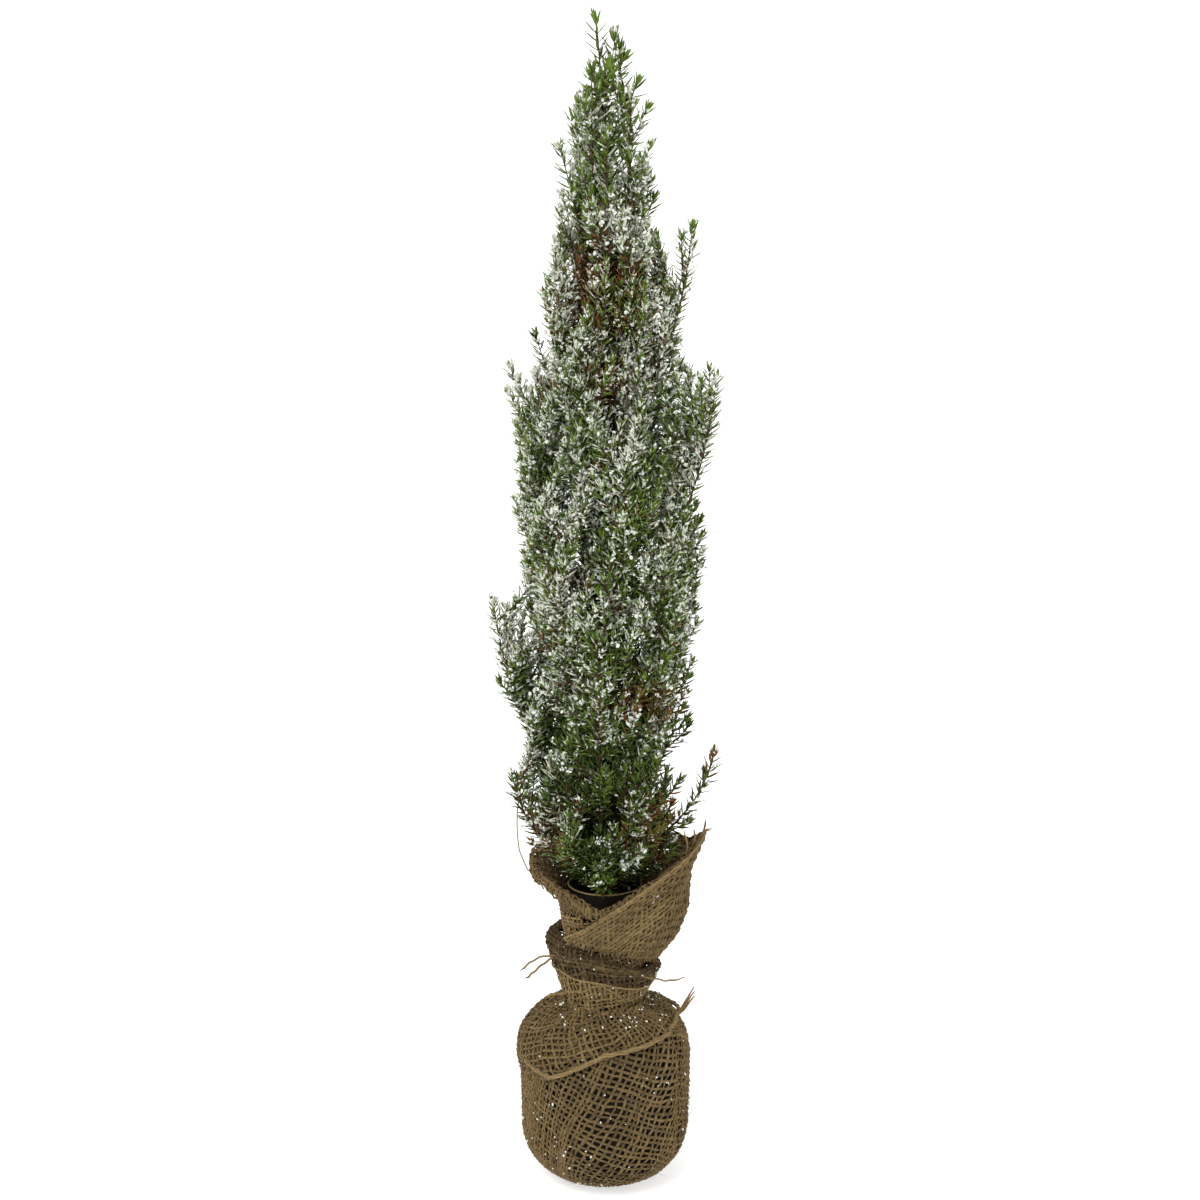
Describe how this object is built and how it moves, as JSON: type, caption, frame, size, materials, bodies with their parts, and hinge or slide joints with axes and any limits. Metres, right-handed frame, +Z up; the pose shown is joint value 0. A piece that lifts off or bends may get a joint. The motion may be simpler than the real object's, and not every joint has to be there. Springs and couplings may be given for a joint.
{
  "type": "artificial tabletop tree",
  "caption": "Slim artificial juniper tabletop tree: snow-dusted sprays that bend on a taped trunk, in a weighted pot wrapped in burlap.",
  "frame": {"origin": "middle of the flat foot, on the surface that the tree stands on", "axes": "+Z up along the trunk, +X to the viewer's right, -Y towards the viewer"},
  "size_m": [0.125, 0.1053, 0.61],
  "materials": {
    "burlap": "open plain weave jute, tan",
    "jute": "twisted natural jute",
    "black_plastic": "moulded black",
    "cement": "cast grey cement",
    "foam": "brown foam",
    "steel": "plain drawn rod",
    "trunk_tape": "brown crepe tape",
    "foliage": "moulded green needles dusted with white flock",
    "rust_foliage": "moulded rust-brown needles"
  },
  "bodies": {
    "root": {"base_pot": "black_plastic", "burlap_collar": "burlap", "burlap_flap": "burlap", "burlap_neck_band": "burlap", "burlap_neck_wrap": "burlap", "burlap_root_wrap": "burlap", "cement_ballast": "cement", "foam_plug": "foam", "jute_tie": "jute", "leader_spray": "foliage", "pot_cover": "black_plastic", "trunk_rod": "steel", "trunk_tape_wrap": "trunk_tape"},
    "branch_01": {"branch_01": "foliage"},
    "branch_02": {"branch_02": "foliage"},
    "branch_03": {"branch_03": "foliage"},
    "branch_04": {"branch_04": "foliage"},
    "branch_05": {"branch_05": "foliage"},
    "branch_06": {"branch_06": "foliage"},
    "branch_07": {"branch_07": "foliage"},
    "branch_08": {"branch_08": "foliage"},
    "branch_09": {"branch_09": "foliage"},
    "branch_10": {"branch_10": "foliage"},
    "branch_11": {"branch_11": "foliage"},
    "branch_12": {"branch_12": "foliage"},
    "branch_13": {"branch_13": "foliage"},
    "branch_14": {"branch_14": "foliage"},
    "branch_15": {"branch_15": "foliage"},
    "branch_16": {"branch_16": "foliage"},
    "branch_17": {"branch_17": "foliage"},
    "branch_18": {"branch_18": "foliage"},
    "branch_19": {"branch_19": "foliage"},
    "branch_20": {"branch_20": "foliage"},
    "branch_21": {"branch_21": "foliage"},
    "branch_22": {"branch_22": "foliage"},
    "branch_23": {"branch_23": "foliage"},
    "branch_24": {"branch_24": "foliage"},
    "branch_25": {"branch_25": "foliage"},
    "branch_26": {"branch_26": "foliage"},
    "branch_27": {"branch_27": "foliage"},
    "branch_28": {"branch_28": "foliage"},
    "skirt_sprig_back": {"skirt_sprig_back": "foliage"},
    "skirt_sprig_back_left": {"skirt_sprig_back_left": "foliage"},
    "skirt_sprig_front_left": {"skirt_sprig_front_left": "foliage"},
    "skirt_sprig_front_right": {"skirt_sprig_front_right": "foliage"},
    "skirt_sprig_left": {"skirt_sprig_left": "foliage"},
    "skirt_sprig_right": {"skirt_sprig_right": "rust_foliage"}
  },
  "joints": [
    {"name": "branch_01_bend", "type": "hinge", "parent": "root", "child": "branch_01", "pos_m": [-0.00324, 0.00422, 0.17], "axis": [-0.7934, -0.6088, 0], "range_deg": [0, 35]},
    {"name": "branch_02_bend", "type": "hinge", "parent": "root", "child": "branch_02", "pos_m": [-0.00046, -0.00526, 0.18167], "axis": [0.9962, -0.087, 0], "range_deg": [0, 35]},
    {"name": "branch_03_bend", "type": "hinge", "parent": "root", "child": "branch_03", "pos_m": [0.00386, 0.00354, 0.19333], "axis": [-0.6758, 0.7371, 0], "range_deg": [0, 35]},
    {"name": "branch_04_bend", "type": "hinge", "parent": "root", "child": "branch_04", "pos_m": [-0.00519, 0, 0.205], "axis": [0.0004, -1, 0], "range_deg": [0, 35]},
    {"name": "branch_05_bend", "type": "hinge", "parent": "root", "child": "branch_05", "pos_m": [0.00379, -0.00347, 0.21667], "axis": [0.6752, 0.7377, 0], "range_deg": [0, 35]},
    {"name": "branch_06_bend", "type": "hinge", "parent": "root", "child": "branch_06", "pos_m": [-0.00045, 0.00508, 0.22833], "axis": [-0.9961, -0.0879, 0], "range_deg": [0, 35]},
    {"name": "branch_07_bend", "type": "hinge", "parent": "root", "child": "branch_07", "pos_m": [-0.00307, -0.00401, 0.24], "axis": [0.7939, -0.6081, 0], "range_deg": [0, 35]},
    {"name": "branch_08_bend", "type": "hinge", "parent": "root", "child": "branch_08", "pos_m": [0.00493, 0.00087, 0.25167], "axis": [-0.1746, 0.9846, 0], "range_deg": [0, 35]},
    {"name": "branch_09_bend", "type": "hinge", "parent": "root", "child": "branch_09", "pos_m": [-0.00419, 0.00266, 0.26333], "axis": [-0.5364, -0.844, 0], "range_deg": [0, 35]},
    {"name": "branch_10_bend", "type": "hinge", "parent": "root", "child": "branch_10", "pos_m": [0.00128, -0.00475, 0.275], "axis": [0.9656, 0.26, 0], "range_deg": [0, 35]},
    {"name": "branch_11_bend", "type": "hinge", "parent": "root", "child": "branch_11", "pos_m": [0.00224, 0.00432, 0.28667], "axis": [-0.8877, 0.4605, 0], "range_deg": [0, 35]},
    {"name": "branch_12_bend", "type": "hinge", "parent": "root", "child": "branch_12", "pos_m": [-0.00453, -0.00166, 0.29833], "axis": [0.3435, -0.9392, 0], "range_deg": [0, 35]},
    {"name": "branch_13_bend", "type": "hinge", "parent": "root", "child": "branch_13", "pos_m": [0.00442, -0.00182, 0.31], "axis": [0.3811, 0.9245, 0], "range_deg": [0, 35]},
    {"name": "branch_14_bend", "type": "hinge", "parent": "root", "child": "branch_14", "pos_m": [-0.00201, 0.00429, 0.32167], "axis": [-0.9055, -0.4243, 0], "range_deg": [0, 35]},
    {"name": "branch_15_bend", "type": "hinge", "parent": "root", "child": "branch_15", "pos_m": [-0.0014, -0.00448, 0.33333], "axis": [0.9543, -0.2988, 0], "range_deg": [0, 35]},
    {"name": "branch_16_bend", "type": "hinge", "parent": "root", "child": "branch_16", "pos_m": [0.00402, 0.00233, 0.345], "axis": [-0.5018, 0.865, 0], "range_deg": [0, 35]},
    {"name": "branch_17_bend", "type": "hinge", "parent": "root", "child": "branch_17", "pos_m": [-0.00449, 0.00099, 0.35667], "axis": [-0.2143, -0.9768, 0], "range_deg": [0, 35]},
    {"name": "branch_18_bend", "type": "hinge", "parent": "root", "child": "branch_18", "pos_m": [0.00262, -0.00373, 0.36833], "axis": [0.8178, 0.5755, 0], "range_deg": [0, 35]},
    {"name": "branch_19_bend", "type": "hinge", "parent": "root", "child": "branch_19", "pos_m": [0.00058, 0.00447, 0.38], "axis": [-0.9918, 0.128, 0], "range_deg": [0, 35]},
    {"name": "branch_20_bend", "type": "hinge", "parent": "root", "child": "branch_20", "pos_m": [-0.00341, -0.00288, 0.39167], "axis": [0.6448, -0.7643, 0], "range_deg": [0, 35]},
    {"name": "branch_21_bend", "type": "hinge", "parent": "root", "child": "branch_21", "pos_m": [0.00442, -0.00018, 0.40333], "axis": [0.0408, 0.9992, 0], "range_deg": [0, 35]},
    {"name": "branch_22_bend", "type": "hinge", "parent": "root", "child": "branch_22", "pos_m": [-0.0031, 0.00309, 0.415], "axis": [-0.705, -0.7092, 0], "range_deg": [0, 35]},
    {"name": "branch_23_bend", "type": "hinge", "parent": "root", "child": "branch_23", "pos_m": [0.0002, -0.00433, 0.42667], "axis": [0.9989, 0.0467, 0], "range_deg": [0, 35]},
    {"name": "branch_24_bend", "type": "hinge", "parent": "root", "child": "branch_24", "pos_m": [0.00274, 0.00329, 0.43833], "axis": [-0.7681, 0.6403, 0], "range_deg": [0, 35]},
    {"name": "branch_25_bend", "type": "hinge", "parent": "root", "child": "branch_25", "pos_m": [-0.0042, -0.00057, 0.45], "axis": [0.1338, -0.991, 0], "range_deg": [0, 35]},
    {"name": "branch_26_bend", "type": "hinge", "parent": "root", "child": "branch_26", "pos_m": [0.00345, -0.00239, 0.46167], "axis": [0.5707, 0.8211, 0], "range_deg": [0, 35]},
    {"name": "branch_27_bend", "type": "hinge", "parent": "root", "child": "branch_27", "pos_m": [-0.00091, 0.00405, 0.47333], "axis": [-0.9755, -0.22, 0], "range_deg": [0, 35]},
    {"name": "branch_28_bend", "type": "hinge", "parent": "root", "child": "branch_28", "pos_m": [-0.00204, -0.00356, 0.485], "axis": [0.8679, -0.4967, 0], "range_deg": [0, 35]},
    {"name": "skirt_sprig_back_bend", "type": "hinge", "parent": "root", "child": "skirt_sprig_back", "pos_m": [0.00047, 0.00531, 0.168], "axis": [-0.9962, 0.0872, 0], "range_deg": [0, 20]},
    {"name": "skirt_sprig_back_left_bend", "type": "hinge", "parent": "root", "child": "skirt_sprig_back_left", "pos_m": [-0.00482, 0.00225, 0.172], "axis": [-0.4226, -0.9063, 0], "range_deg": [0, 20]},
    {"name": "skirt_sprig_front_left_bend", "type": "hinge", "parent": "root", "child": "skirt_sprig_front_left", "pos_m": [-0.0033, -0.00422, 0.163], "axis": [0.788, -0.6157, 0], "range_deg": [0, 20]},
    {"name": "skirt_sprig_front_right_bend", "type": "hinge", "parent": "root", "child": "skirt_sprig_front_right", "pos_m": [0.00251, -0.00471, 0.166], "axis": [0.8829, 0.4695, 0], "range_deg": [0, 20]},
    {"name": "skirt_sprig_left_bend", "type": "hinge", "parent": "root", "child": "skirt_sprig_left", "pos_m": [-0.00502, -0.00178, 0.169], "axis": [0.3338, -0.9426, 0], "range_deg": [0, 12]},
    {"name": "skirt_sprig_right_bend", "type": "hinge", "parent": "root", "child": "skirt_sprig_right", "pos_m": [0.0053, 0, 0.176], "axis": [0, 1, 0], "range_deg": [0, 12]}
  ]
}
